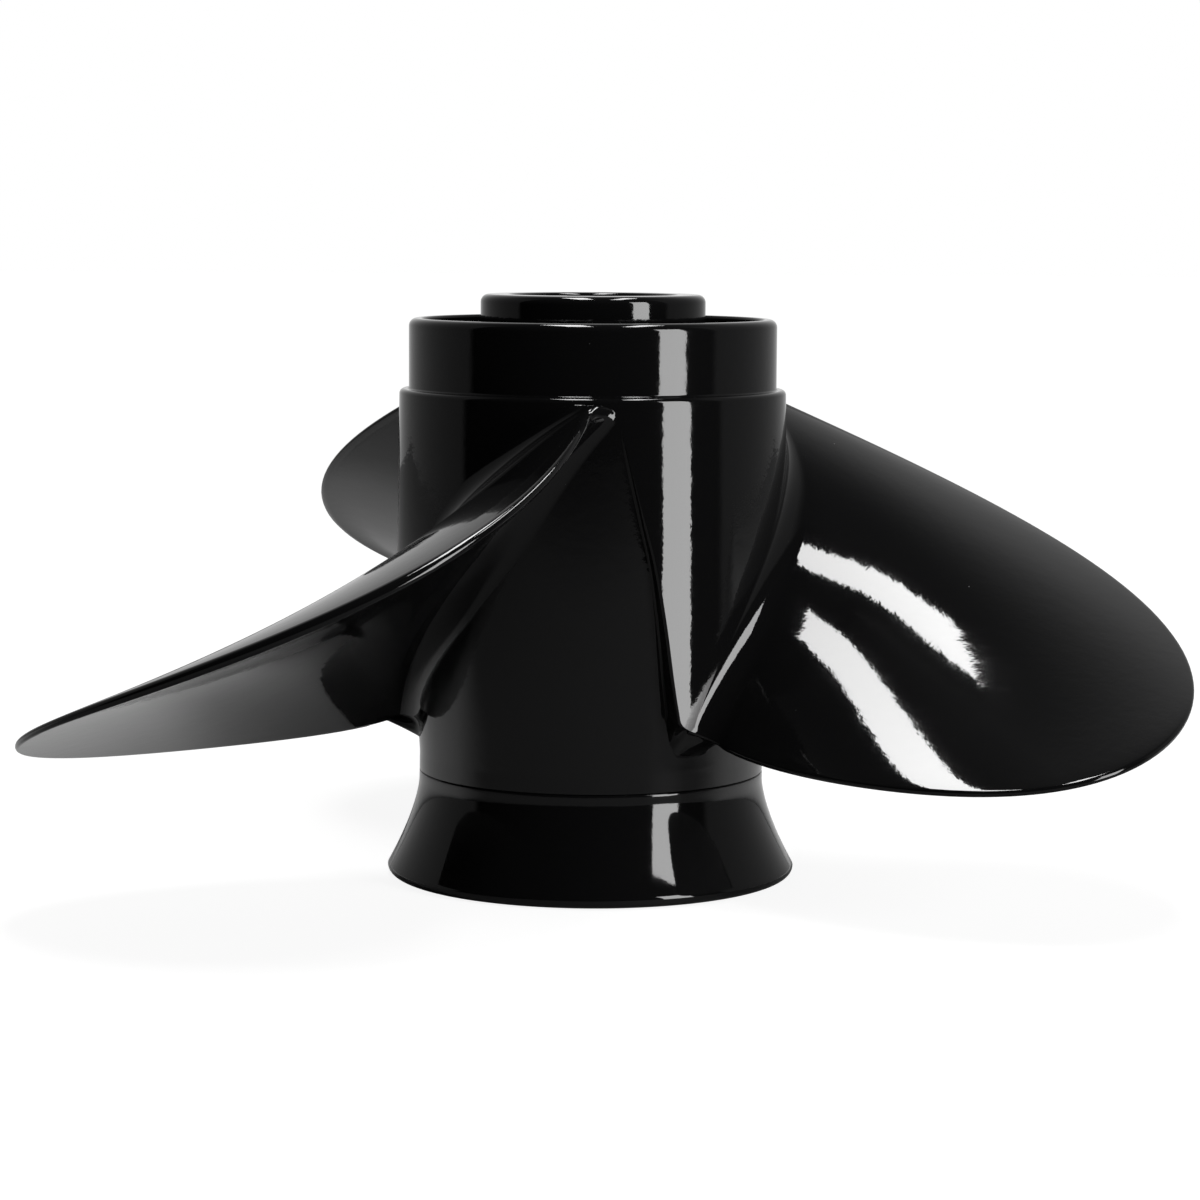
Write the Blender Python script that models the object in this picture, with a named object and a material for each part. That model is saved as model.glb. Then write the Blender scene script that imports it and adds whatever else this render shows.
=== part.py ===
"""Three-blade outboard boat propeller whose exhaust leaves through the hub.

Built as the real one is: one aluminium casting (barrel, blades, ribs and inner hub), a flared
diffuser ring on its aft end, and a rubber bushing that carries a splined brass sleeve.
Units are metres. The origin is on the shaft axis in the plane of the aft lip. +Z points
forward, towards the engine, so the part stands on its flared aft end.
"""

from math import atan2, cos, exp, pi, radians, sin, sqrt

import bmesh
import bpy

MM = 0.001

# Fits
FIT_GAP = 0.3 * MM                # between pieces that touch in the real assembly

# Barrel, the outer wall of the casting
SEAM_Z = 21.6 * MM                # aft end of the casting, where the diffuser ring starts
NECK_Z = 26.4 * MM                # height of the narrowest place
SHOULDER_Z = 103.7 * MM           # step between the barrel and its pilot
BARREL_RADIUS = 40.95 * MM        # at the shoulder
NECK_NARROWING = 4.3 * MM         # how much less the radius is at the neck
NECK_RADIUS = BARREL_RADIUS - NECK_NARROWING
FRONT_DRAFT = 0.014               # radius gained for each metre aft, ahead of the parting line
PARTING_STEP = 0.2 * MM           # step in the parting line at its front end
SHOULDER_ROUND = 1.1 * MM
SHOULDER_WIDTH = 2.0 * MM         # from the barrel in to its pilot
PILOT_RADIUS = BARREL_RADIUS - SHOULDER_WIDTH
PILOT_Z = 118.5 * MM              # front rim
PILOT_ROUND = 1.7 * MM
PILOT_WALL = 2.8 * MM
NECK_WALL = 3.65 * MM
PASSAGE_FRONT_RADIUS = PILOT_RADIUS - PILOT_WALL
PASSAGE_AFT_RADIUS = NECK_RADIUS - NECK_WALL
RIM_CHAMFER = 0.5 * MM
COUNTERBORE_WALL = 1.35 * MM      # left around the tongue of the diffuser ring
COUNTERBORE_RADIUS = NECK_RADIUS - COUNTERBORE_WALL
COUNTERBORE_DEPTH = 5.4 * MM

# Inner hub and the ribs that carry it
HUB_RADIUS = 23.8 * MM
HUB_FRONT_Z = 123.6 * MM
HUB_AFT_Z = 29.0 * MM
HUB_ROUND = 1.7 * MM
BORE_RADIUS = 17.35 * MM
BORE_ROUND = 1.0 * MM
LAND_RADIUS = 14.5 * MM           # narrower bore behind the bushing
LAND_Z = 46.0 * MM                # the bushing is pressed in down to here
RIB_COUNT = 3
RIB_ANGLE = radians(30)
RIB_THICKNESS = 6.0 * MM
RIB_FILLET = 3.0 * MM
RIB_AFT_Z = 33.0 * MM
RIB_FRONT_Z = 106.5 * MM
RIB_BITE = 1.6 * MM               # how far a rib's ends run into the walls

# Diffuser ring
CREST_Z = 1.6 * MM                # height of the widest place
FLARE_WIDTH = 6.85 * MM           # from the neck out to the widest place
CREST_RADIUS = NECK_RADIUS + FLARE_WIDTH
FLARE_RISE = 2.25                 # shape of the flare between neck and crest
LIP_WIDTH = 4.1 * MM              # crest to the inner edge of the lip
LIP_FLAT = 2.0 * MM
RING_WALL = 3.0 * MM
TONGUE_WALL = 1.9 * MM

# Rubber bushing and splined sleeve
BUSHING_FRONT_Z = 111.5 * MM
BUSHING_CHAMFER = 1.5 * MM
SLEEVE_RADIUS = 11.5 * MM
SLEEVE_AFT_Z = 32.0 * MM
SLEEVE_FRONT_Z = 114.0 * MM
SLEEVE_CHAMFER = 0.8 * MM
SPLINE_TEETH = 10
SPLINE_ROOT_RADIUS = 9.4 * MM
SPLINE_TIP_RADIUS = 8.0 * MM

# Blades: each section is drawn at one radius, by its mid point, half width and pitch
BLADE_COUNT = 3
TIP_RADIUS = 130.175 * MM         # a 10 1/4 inch propeller
ROOT_STANDOFF = 0.1 * MM
ROOT_RADIUS = BARREL_RADIUS + ROOT_STANDOFF      # where the span starts
CORE_DEPTH = 1.6 * MM
CORE_RADIUS = PASSAGE_AFT_RADIUS + CORE_DEPTH    # innermost section, inside the barrel's wall
ROOT_REACH = 0.10                 # share of the span in which the root's own terms die away
MID_ANGLE = (-13.0, -2.5, -5.1, -4.9)     # degrees, by powers of the span share
MID_ANGLE_ROOT = 2.6
HALF_ANGLE = (42.0, -4.6, -1.1, 2.1)      # degrees
HALF_ANGLE_ROOT = 1.7
TIP_ROUNDNESS = 1.59
MID_HEIGHT = (65.8 * MM, -21.4 * MM, -5.1 * MM, 0.5 * MM)
MID_HEIGHT_ROOT = 2.2 * MM
PITCH = (293.4 * MM, -14.7 * MM, 0.6 * MM, 0.0)
PITCH_ROOT = -8.8 * MM
ROOT_THICKNESS = 8.0 * MM
TIP_THICKNESS = 2.3 * MM
EDGE_THICKNESS = 1.3 * MM
FULLNESS = 0.8                    # how soon a section reaches its full thickness
TIP_THINNING = 8
FACE_FILLET = 5.0 * MM            # root fillet on the aft, pressure face
BACK_FILLET = 3.5 * MM            # root fillet on the forward, suction face

# Parting line between two blades, as shares of the way from one blade to the next
PARTING_CORNER = 0.665
PARTING_BEND = 1.45

# Facets
ROUND_STEPS = 48
BLADE_ROOT_COLUMNS = 9            # columns of the barrel along one blade's root
PARTING_COLUMNS = 10              # columns between two blades
CORNER_STEPS = 2
FLARE_STEPS = 6
CHORD_STEPS = 9
SPAN_STEPS = 8
FILLET_STEPS = 4                  # sections between the blade's core and its fillets' end
STEPS_A_TOOTH = 6

SECTOR = 2 * pi / BLADE_COUNT


# Helpers

def material(name, colour, roughness, metallic=0.0):
    """A Principled BSDF with one colour."""
    made = bpy.data.materials.new(name)
    made.use_nodes = True
    shader = made.node_tree.nodes["Principled BSDF"]
    shader.inputs["Base Color"].default_value = (*colour, 1.0)
    shader.inputs["Roughness"].default_value = roughness
    shader.inputs["Metallic"].default_value = metallic
    return made


def finish_mesh(name, mesh_data, surface=None):
    """Turn a bmesh into an object with its faces pointing out."""
    bmesh.ops.recalc_face_normals(mesh_data, faces=mesh_data.faces)
    mesh = bpy.data.meshes.new(name)
    mesh_data.to_mesh(mesh)
    mesh_data.free()
    mesh.shade_smooth()
    mesh.set_sharp_from_angle(angle=radians(35))
    made = bpy.data.objects.new(name, mesh)
    bpy.context.scene.collection.objects.link(made)
    if surface:
        mesh.materials.append(surface)
    else:
        made.hide_render = True
        made.display_type = "WIRE"
    return made


def bridge(mesh_data, first, second):
    """Join two closed rings of as many vertices with quads."""
    count = len(first)
    for i in range(count):
        j = (i + 1) % count
        mesh_data.faces.new((first[i], first[j], second[j], second[i]))


def turned(name, profile, surface=None, closed=False):
    """A solid of revolution from (radius, height) points.

    An open profile gets a flat cap at each end. A closed one makes a ring with a hole.
    """
    mesh_data = bmesh.new()
    rings = []
    for radius, height in profile:
        ring = []
        for i in range(ROUND_STEPS):
            angle = 2 * pi * i / ROUND_STEPS
            ring.append(mesh_data.verts.new((radius * cos(angle), radius * sin(angle), height)))
        rings.append(ring)
    for first, second in zip(rings, rings[1:]):
        bridge(mesh_data, first, second)
    if closed:
        bridge(mesh_data, rings[-1], rings[0])
    else:
        mesh_data.faces.new(rings[0])
        mesh_data.faces.new(rings[-1])
    return finish_mesh(name, mesh_data, surface)


def arc(centre_r, centre_z, radius_r, radius_z, start, end, steps=CORNER_STEPS):
    """Points of a rounded corner, with angles in degrees from the outward direction."""
    points = []
    for i in range(steps + 1):
        angle = radians(start + (end - start) * i / steps)
        points.append((centre_r + radius_r * cos(angle), centre_z + radius_z * sin(angle)))
    return points


def boolean(target, cutter, operation):
    """Add one exact Boolean step."""
    step = target.modifiers.new(f"{operation.lower()} {cutter.name}", "BOOLEAN")
    step.operation = operation
    step.solver = "EXACT"
    step.object = cutter


# Outlines shared by the barrel, its ring and the blades

def flare_radius(height):
    """Outside of the flared end, below the neck."""
    share = (NECK_Z - height) / (NECK_Z - CREST_Z)
    return NECK_RADIUS + (CREST_RADIUS - NECK_RADIUS) * share ** FLARE_RISE


def aft_radius(height):
    """Outside of the barrel behind the parting line: a cone down to the neck."""
    if height <= NECK_Z:
        return flare_radius(max(height, CREST_Z))
    share = (height - NECK_Z) / (SHOULDER_Z - NECK_Z)
    return NECK_RADIUS + (BARREL_RADIUS - PARTING_STEP - NECK_RADIUS) * share


def front_radius(height):
    """Outside of the barrel ahead of the parting line: nearly a cylinder."""
    return BARREL_RADIUS + FRONT_DRAFT * (SHOULDER_Z - height)


def passage_radius(height):
    """Inside of the barrel, which narrows going aft."""
    share = (height - HUB_AFT_Z) / (PILOT_Z - HUB_AFT_Z)
    return PASSAGE_AFT_RADIUS + (PASSAGE_FRONT_RADIUS - PASSAGE_AFT_RADIUS) * share


# Blade surface

def law(powers, root_term, share):
    """A size that changes along the span, with a term of its own near the root."""
    total = sum(value * share ** power for power, value in enumerate(powers))
    return total + root_term * exp(-max(share, -0.04) / ROOT_REACH)


def span_share(radius):
    return (radius - ROOT_RADIUS) / (TIP_RADIUS - ROOT_RADIUS)


def blade_edges(radius):
    """Mid angle and half angle of the section at this radius."""
    share = span_share(radius)
    closing = sqrt(max(0.0, 1 - max(share, 0.0) ** TIP_ROUNDNESS))
    mid = radians(law(MID_ANGLE, MID_ANGLE_ROOT, share))
    half = radians(law(HALF_ANGLE, HALF_ANGLE_ROOT, share)) * closing
    return mid, half


def face_height(radius, turn):
    """Height of the pressure face at an angle from the section's mid point."""
    share = span_share(radius)
    pitch = law(PITCH, PITCH_ROOT, share)
    return law(MID_HEIGHT, MID_HEIGHT_ROOT, share) + pitch * turn / (2 * pi)


def fillet(depth, size):
    """Extra thickness at a distance from the hub's surface."""
    if depth <= 0:
        return size
    if depth >= size:
        return 0.0
    return size - sqrt(size ** 2 - (size - depth) ** 2)


def section_loop(radius):
    """Points around one blade section: the back from edge to edge, then the face."""
    share = span_share(radius)
    mid, half = blade_edges(radius)
    pitch = law(PITCH, PITCH_ROOT, share)
    slope = atan2(pitch / (2 * pi), radius)
    thinning = sqrt(max(0.0, 1 - max(share, 0.0) ** TIP_THINNING))
    thickest = ROOT_THICKNESS + (TIP_THICKNESS - ROOT_THICKNESS) * share
    back = []
    face = []
    for i in range(CHORD_STEPS + 1):
        along = (1 - cos(pi * i / CHORD_STEPS)) / 2
        turn = half * (1 - 2 * along)
        angle = mid + turn
        height = face_height(radius, turn)
        belly = max(0.0, 4 * along * (1 - along)) ** FULLNESS
        thickness = (EDGE_THICKNESS + (thickest - EDGE_THICKNESS) * belly) * thinning
        ends = sin(pi * i / CHORD_STEPS) ** 0.5 if 0 < i < CHORD_STEPS else 0.0
        back_depth = radius - front_radius(height) + FIT_GAP
        face_depth = radius - aft_radius(height) + FIT_GAP
        thickness += fillet(back_depth, BACK_FILLET) * ends
        drop = fillet(face_depth, FACE_FILLET) * ends
        for points, offset in ((back, thickness), (face, -drop)):
            around = angle - offset * sin(slope) / radius
            points.append((radius * cos(around), radius * sin(around),
                           height + offset * cos(slope)))
    return back + face[::-1]


def blade_radii():
    """Radii of the sections: close together in the wall, the fillets and the tip."""
    radii = [CORE_RADIUS]
    fillet_end = front_radius(SEAM_Z) + FACE_FILLET
    for i in range(1, FILLET_STEPS + 1):
        radii.append(CORE_RADIUS + (fillet_end - CORE_RADIUS) * i / FILLET_STEPS)
    for i in range(1, SPAN_STEPS):
        radii.append(fillet_end + (TIP_RADIUS - fillet_end) * sin(pi / 2 * i / SPAN_STEPS))
    return radii


def blade_solid(name):
    """All the blades in one object, each a closed solid that starts inside the wall."""
    mesh_data = bmesh.new()
    tip_mid, _ = blade_edges(TIP_RADIUS)
    for blade in range(BLADE_COUNT):
        turn = blade * SECTOR
        rings = []
        for radius in blade_radii():
            ring = []
            for x, y, z in section_loop(radius):
                ring.append(mesh_data.verts.new((x * cos(turn) - y * sin(turn),
                                                 x * sin(turn) + y * cos(turn), z)))
            rings.append(ring)
        for first, second in zip(rings, rings[1:]):
            bridge(mesh_data, first, second)
        mesh_data.faces.new(rings[0])
        tip = mesh_data.verts.new((TIP_RADIUS * cos(tip_mid + turn), TIP_RADIUS * sin(tip_mid + turn),
                                   face_height(TIP_RADIUS, 0.0)))
        last = rings[-1]
        for i, vertex in enumerate(last):
            mesh_data.faces.new((vertex, last[(i + 1) % len(last)], tip))
    return finish_mesh(name, mesh_data)


# Barrel

def barrel_columns():
    """(angle, height of the parting line) for each column of the barrel, one sector only."""
    mid, half = blade_edges(ROOT_RADIUS)
    low = face_height(ROOT_RADIUS, -half)
    high = min(face_height(ROOT_RADIUS, half), SHOULDER_Z - 2 * SHOULDER_ROUND)
    columns = []
    for i in range(BLADE_ROOT_COLUMNS):
        share = i / BLADE_ROOT_COLUMNS
        columns.append((mid - half + 2 * half * share, low + (high - low) * share))
    gap = SECTOR - 2 * half
    for i in range(PARTING_COLUMNS):
        share = i / PARTING_COLUMNS
        fall = max(0.0, 1 - (share / PARTING_CORNER) ** PARTING_BEND)
        columns.append((mid + half + gap * share, low + (high - low) * fall))
    return columns


def barrel_profile(parting):
    """(radius, height) points up one column, with the ledge at the parting line."""
    points = [(aft_radius(SEAM_Z), SEAM_Z)]
    middle = (SEAM_Z + NECK_Z) / 2
    points += [(aft_radius(middle), middle), (aft_radius(NECK_Z), NECK_Z)]
    for share in (0.5, 1.0):
        height = NECK_Z + (parting - NECK_Z) * share
        points.append((aft_radius(height), height))
    points.append((front_radius(parting), parting))
    top = SHOULDER_Z - SHOULDER_ROUND
    middle = (parting + top) / 2
    points.append((front_radius(middle), middle))
    points += arc(BARREL_RADIUS - SHOULDER_ROUND, top, SHOULDER_ROUND, SHOULDER_ROUND, 0, 90)
    points.append((PILOT_RADIUS, SHOULDER_Z))
    points += arc(PILOT_RADIUS - PILOT_ROUND, PILOT_Z - PILOT_ROUND, PILOT_ROUND, PILOT_ROUND, 0, 90)
    return points


def barrel_solid(name, surface):
    """The outside of the barrel as one solid, before its passage is cut."""
    mesh_data = bmesh.new()
    columns = []
    for sector in range(BLADE_COUNT):
        for angle, parting in barrel_columns():
            around = angle + sector * SECTOR
            column = []
            for radius, height in barrel_profile(parting):
                column.append(mesh_data.verts.new((radius * cos(around), radius * sin(around), height)))
            columns.append(column)
    rings = list(zip(*columns))
    for first, second in zip(rings, rings[1:]):
        bridge(mesh_data, first, second)
    mesh_data.faces.new(rings[0])
    mesh_data.faces.new(rings[-1])
    return finish_mesh(name, mesh_data, surface)


def passage_cutter():
    """The room inside the barrel, with the counterbore for the diffuser ring."""
    below = SEAM_Z - COUNTERBORE_DEPTH
    step = SEAM_Z + COUNTERBORE_DEPTH
    above = PILOT_Z + 5 * RIM_CHAMFER
    profile = [
        (COUNTERBORE_RADIUS, below),
        (COUNTERBORE_RADIUS, step),
        (PASSAGE_AFT_RADIUS, step),
        (PASSAGE_AFT_RADIUS, HUB_AFT_Z),
        (passage_radius(PILOT_Z - RIM_CHAMFER), PILOT_Z - RIM_CHAMFER),
        (passage_radius(PILOT_Z) + RIM_CHAMFER, PILOT_Z),
        (passage_radius(PILOT_Z) + RIM_CHAMFER, above),
    ]
    return turned("passage cutter", profile)


def inner_hub_solid():
    """The tube that takes the bushing, before it is bored."""
    profile = [(HUB_RADIUS - HUB_ROUND, HUB_AFT_Z), (HUB_RADIUS, HUB_AFT_Z + HUB_ROUND)]
    profile += arc(HUB_RADIUS - HUB_ROUND, HUB_FRONT_Z - HUB_ROUND, HUB_ROUND, HUB_ROUND, 0, 90)
    return turned("inner hub blank", profile)


def bore_cutter():
    """The stepped bore with its rounded front mouth."""
    profile = [
        (LAND_RADIUS, HUB_AFT_Z - BORE_ROUND),
        (LAND_RADIUS, LAND_Z),
        (BORE_RADIUS, LAND_Z),
    ]
    profile += arc(BORE_RADIUS + BORE_ROUND, HUB_FRONT_Z - BORE_ROUND, BORE_ROUND, BORE_ROUND, 180, 90)
    profile.append((BORE_RADIUS + BORE_ROUND, HUB_FRONT_Z + BORE_ROUND))
    return turned("bore cutter", profile)


def rib_outline(height):
    """Half of a rib seen along the axis: (distance from the axis, half thickness)."""
    half = RIB_THICKNESS / 2
    inner = HUB_RADIUS
    outer = passage_radius(height)
    points = [(inner - RIB_BITE, half + RIB_FILLET)]
    for i in range(CORNER_STEPS + 1):
        angle = pi / 2 * i / CORNER_STEPS
        points.append((inner + RIB_FILLET * (1 - cos(angle)), half + RIB_FILLET * (1 - sin(angle))))
    for i in range(CORNER_STEPS + 1):
        angle = pi / 2 * i / CORNER_STEPS
        points.append((outer - RIB_FILLET * (1 - sin(angle)), half + RIB_FILLET * (1 - cos(angle))))
    points.append((outer + RIB_BITE, half + RIB_FILLET))
    return points


def rib_solids():
    """Straight ribs between the inner hub and the barrel."""
    mesh_data = bmesh.new()
    for rib in range(RIB_COUNT):
        turn = RIB_ANGLE + rib * 2 * pi / RIB_COUNT
        rings = []
        for height in (RIB_AFT_Z, RIB_FRONT_Z):
            half = rib_outline(height)
            outline = half + [(distance, -offset) for distance, offset in reversed(half)]
            ring = []
            for distance, offset in outline:
                ring.append(mesh_data.verts.new((distance * cos(turn) - offset * sin(turn),
                                                 distance * sin(turn) + offset * cos(turn), height)))
            rings.append(ring)
        bridge(mesh_data, rings[0], rings[1])
        mesh_data.faces.new(rings[0])
        mesh_data.faces.new(rings[1])
    return finish_mesh("rib blanks", mesh_data)


def make_casting(surface):
    """Barrel, blades, inner hub and ribs as the single casting they are."""
    casting = barrel_solid("propeller_casting", surface)
    boolean(casting, blade_solid("blade blanks"), "UNION")
    boolean(casting, passage_cutter(), "DIFFERENCE")
    boolean(casting, inner_hub_solid(), "UNION")
    boolean(casting, rib_solids(), "UNION")
    boolean(casting, bore_cutter(), "DIFFERENCE")
    return casting


# Other pieces

def make_diffuser_ring(surface):
    """The flared ring, whose tongue sits in the casting's counterbore."""
    front = SEAM_Z - FIT_GAP
    tongue_outside = COUNTERBORE_RADIUS - FIT_GAP
    tongue_inside = tongue_outside - TONGUE_WALL
    tongue_top = SEAM_Z + COUNTERBORE_DEPTH - FIT_GAP
    profile = [(tongue_inside, tongue_top), (tongue_outside, tongue_top), (tongue_outside, front)]
    for i in range(FLARE_STEPS + 1):
        height = front + (CREST_Z - front) * i / FLARE_STEPS
        profile.append((flare_radius(height), height))
    lip_inside = CREST_RADIUS - LIP_WIDTH
    rounding = LIP_WIDTH - LIP_FLAT
    profile += arc(CREST_RADIUS - rounding, CREST_Z, rounding, CREST_Z, 0, -90)[1:]
    profile.append((lip_inside, 0.0))
    for i in range(1, FLARE_STEPS + 1):
        share = i / FLARE_STEPS
        height = front * share
        wall = RING_WALL + (LIP_WIDTH - RING_WALL) * (1 - share) ** 2
        profile.append((max(flare_radius(max(height, CREST_Z)) - wall, tongue_inside), height))
    return turned("diffuser_ring", profile, surface, closed=True)


def make_bushing(surface):
    """The pressed-in rubber bushing, seated on the land of the bore."""
    outside = BORE_RADIUS - FIT_GAP
    inside = SLEEVE_RADIUS + FIT_GAP
    low = LAND_Z + FIT_GAP
    profile = [
        (inside, low),
        (outside - BUSHING_CHAMFER, low),
        (outside, low + BUSHING_CHAMFER),
        (outside, BUSHING_FRONT_Z - BUSHING_CHAMFER),
        (outside - BUSHING_CHAMFER, BUSHING_FRONT_Z),
        (inside, BUSHING_FRONT_Z),
    ]
    return turned("rubber_bushing", profile, surface, closed=True)


def make_sleeve(surface):
    """The brass sleeve with a spline cut along its bore."""
    count = SPLINE_TEETH * STEPS_A_TOOTH
    rows = [
        (SLEEVE_AFT_Z, SLEEVE_RADIUS - SLEEVE_CHAMFER),
        (SLEEVE_AFT_Z + SLEEVE_CHAMFER, SLEEVE_RADIUS),
        (SLEEVE_FRONT_Z - SLEEVE_CHAMFER, SLEEVE_RADIUS),
        (SLEEVE_FRONT_Z, SLEEVE_RADIUS - SLEEVE_CHAMFER),
    ]
    mesh_data = bmesh.new()
    outer = []
    for height, radius in rows:
        ring = []
        for i in range(count):
            angle = 2 * pi * i / count
            ring.append(mesh_data.verts.new((radius * cos(angle), radius * sin(angle), height)))
        outer.append(ring)
    inner = []
    for height in (SLEEVE_FRONT_Z, SLEEVE_AFT_Z):
        ring = []
        for i in range(count):
            angle = 2 * pi * i / count
            in_groove = i % STEPS_A_TOOTH < STEPS_A_TOOTH / 2
            radius = SPLINE_ROOT_RADIUS if in_groove else SPLINE_TIP_RADIUS
            ring.append(mesh_data.verts.new((radius * cos(angle), radius * sin(angle), height)))
        inner.append(ring)
    rings = outer + inner
    for first, second in zip(rings, rings[1:]):
        bridge(mesh_data, first, second)
    bridge(mesh_data, rings[-1], rings[0])
    return finish_mesh("splined_sleeve", mesh_data, surface)


def main():
    for old in list(bpy.data.objects):
        bpy.data.objects.remove(old, do_unlink=True)
    paint = material("black gloss paint", (0.012, 0.012, 0.013), 0.12)
    ring_paint = material("black gloss ring paint", (0.012, 0.012, 0.013), 0.14)
    rubber = material("black rubber", (0.02, 0.02, 0.02), 0.75)
    brass = material("machined brass", (0.72, 0.5, 0.22), 0.32, 1.0)
    make_casting(paint)
    make_diffuser_ring(ring_paint)
    make_bushing(rubber)
    make_sleeve(brass)


main()
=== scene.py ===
"""Looks of the outboard boat propeller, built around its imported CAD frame.

Sizes in this file are millimetres and angles radians until a mesh is made.
Points of the casting are (radius, angle, height) about the shaft axis.
"""

from math import cos, pi, radians, sin

import bmesh
import bpy
import numpy as np
from mathutils import Matrix, Vector


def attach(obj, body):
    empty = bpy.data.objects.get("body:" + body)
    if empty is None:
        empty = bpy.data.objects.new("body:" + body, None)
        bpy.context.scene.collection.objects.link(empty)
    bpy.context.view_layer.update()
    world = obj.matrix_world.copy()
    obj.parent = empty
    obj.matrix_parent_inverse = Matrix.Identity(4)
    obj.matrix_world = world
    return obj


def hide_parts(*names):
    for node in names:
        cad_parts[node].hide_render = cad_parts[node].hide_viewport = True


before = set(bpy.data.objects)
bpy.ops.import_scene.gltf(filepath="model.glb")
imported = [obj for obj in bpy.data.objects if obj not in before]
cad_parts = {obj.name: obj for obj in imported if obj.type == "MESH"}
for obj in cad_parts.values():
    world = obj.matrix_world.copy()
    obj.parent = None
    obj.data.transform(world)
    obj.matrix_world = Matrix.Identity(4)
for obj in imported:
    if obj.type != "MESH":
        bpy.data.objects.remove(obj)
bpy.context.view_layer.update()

MM = 0.001
SECTOR = 2 * pi / 3

# Barrel and blade sizes, the same as in the CAD source but for the seam, 0.9 mm lower there
SEAM_Z = 22.5
SEAM_GAP = 0.12
NECK_Z = 26.4
NECK_RADIUS = 36.65
SHOULDER_Z = 103.7
BARREL_RADIUS = 40.95
FRONT_DRAFT = 0.014
SHOULDER_ROUND = 1.1
PILOT_RADIUS = 38.95
PILOT_Z = 118.5
PILOT_ROUND = 1.7
PILOT_FOOT_ROUND = 0.5
PASSAGE_FRONT_RADIUS = 36.15
PASSAGE_AFT_RADIUS = 33.0
RIM_ROUND = 0.6
COUNTERBORE_RADIUS = 35.3
COUNTERBORE_Z = SEAM_Z + 5.4
SEAM_ROUND = 0.15
HUB_RADIUS = 23.8
HUB_FRONT_Z = 123.6
HUB_AFT_Z = 29.0
HUB_ROUND = 1.7
BORE_RADIUS = 17.35
BORE_ROUND = 1.0
LAND_RADIUS = 14.5
LAND_Z = 46.0
RIB_ANGLE = radians(30)
RIB_THICKNESS = 6.0
RIB_FILLET = 3.0
RIB_AFT_Z = 33.0
RIB_FRONT_Z = 106.5
RIB_END_ROUND = 1.0
RIB_BITE = 1.6
FLARE_START_Z = 20.4
FLARE_START_RADIUS = 36.72
CREST_Z = 1.9
CREST_RADIUS = 43.5
FLARE_RISE = 1.5
LIP_WIDTH = 4.1
LIP_FLAT = 2.0
RING_WALL = 3.0
TONGUE_WALL = 1.9
BUSHING_FRONT_Z = 111.5
BUSHING_CHAMFER = 1.5
SLEEVE_RADIUS = 11.5
SLEEVE_AFT_Z = 32.0
SLEEVE_FRONT_Z = 114.0
SLEEVE_CHAMFER = 0.8
SPLINE_TEETH = 10
SPLINE_ROOT_RADIUS = 9.4
SPLINE_TIP_RADIUS = 8.0
FIT_GAP = 0.3

TIP_RADIUS = 130.175
ROOT_RADIUS = 41.05
ROOT_REACH = 0.10
MID_ANGLE = (-13.0, -2.5, -5.1, -4.9, 2.6)
HALF_ANGLE = (42.0, -4.6, -1.1, 2.1, 1.7)
TIP_ROUNDNESS = 1.59
MID_HEIGHT = (65.8, -21.4, -5.1, 0.5, 2.2)
PITCH = (293.4, -14.7, 0.6, 0.0, -8.8)
ROOT_THICKNESS = 8.0
TIP_THICKNESS = 2.3
EDGE_THICKNESS = 1.3
FULLNESS = 0.8
TIP_THINNING = 8

# Finer shape than the CAD source has
EDGE_INSET = 0.65  # the rounded edge starts this far inside the outline
LEAD_INSET = 1.7  # and on the leading edge, up to near the tip, this far
NOSE_FILLET = 3.4  # reach of the root fillet in front of the leading edge
NOSE_FLATNESS = 0.7  # the fillet is rather a flat slope there
LEDGE_FLATNESS = (0.35, 0.95)  # along the ledge, and at the tip of the V
WEB_LIFT = 0.92  # how high the web under the V reaches up its wall
LEAD_DROOP = 0.9  # how far the face bends away behind the leading edge
DROOP_REACH = 0.10  # over this share of the chord
LEAD_PULL = radians(1.8)  # how far the leading edge draws back at the hub
LEAD_PULL_REACH = 7.0
HOLLOW_DEPTH = 0.281  # a faint hollow of the back in front of its root
HOLLOW_SPAN = (0.156, 0.137)  # middle and reach along the span
HOLLOW_CHORD = (0.637, 0.325)  # middle and reach along the chord, from the leading edge
BLADE_TOP_LIFT = 6.0  # the root rows end this far above the barrel
ROOT_PROBE_RADIUS = 47.0  # where the edges' heights at the root are taken
BACK_FILLET = (2.0, 4.2)  # at the leading edge, and from a third of the chord on
FACE_FILLET = (4.6, 8.0, 5.6)  # at the leading edge, in the middle, at the trailing edge
FILLET_REACH_PAST_EDGE = 0.023  # the back's fillet runs on past the trailing edge
FAN_CORNER_Z = 35.0  # where the face's trailing edge meets the barrel
TOE_CEILING = SHOULDER_Z - SHOULDER_ROUND - 0.25
LEDGE_START_Z = 97.7
LEDGE_ROUND = 0.6
LEDGE_FILLET = 0.9

# Lines on the barrel, as (angle in degrees, height)
LEDGE_RIM = (
    (40.4, 90.6), (44.2, 79.5), (47.8, 69.5), (50.8, 57.5), (53.0, 46.5), (54.6, 39.6), (55.6, 37.0),
)
LEDGE_TOE = (
    (39.6, 90.2), (43.4, 79.2), (47.0, 69.3), (50.0, 57.3), (52.2, 46.2), (53.9, 39.0), (55.2, 34.2),
    (56.6, 31.0),
)
FAN_TOE = (
    (-63.4, 31.0), (-61.9, 29.85), (-59.3, 29.45), (-55.5, 29.4), (-51.8, 29.65), (-48.8, 30.4),
)

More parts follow.
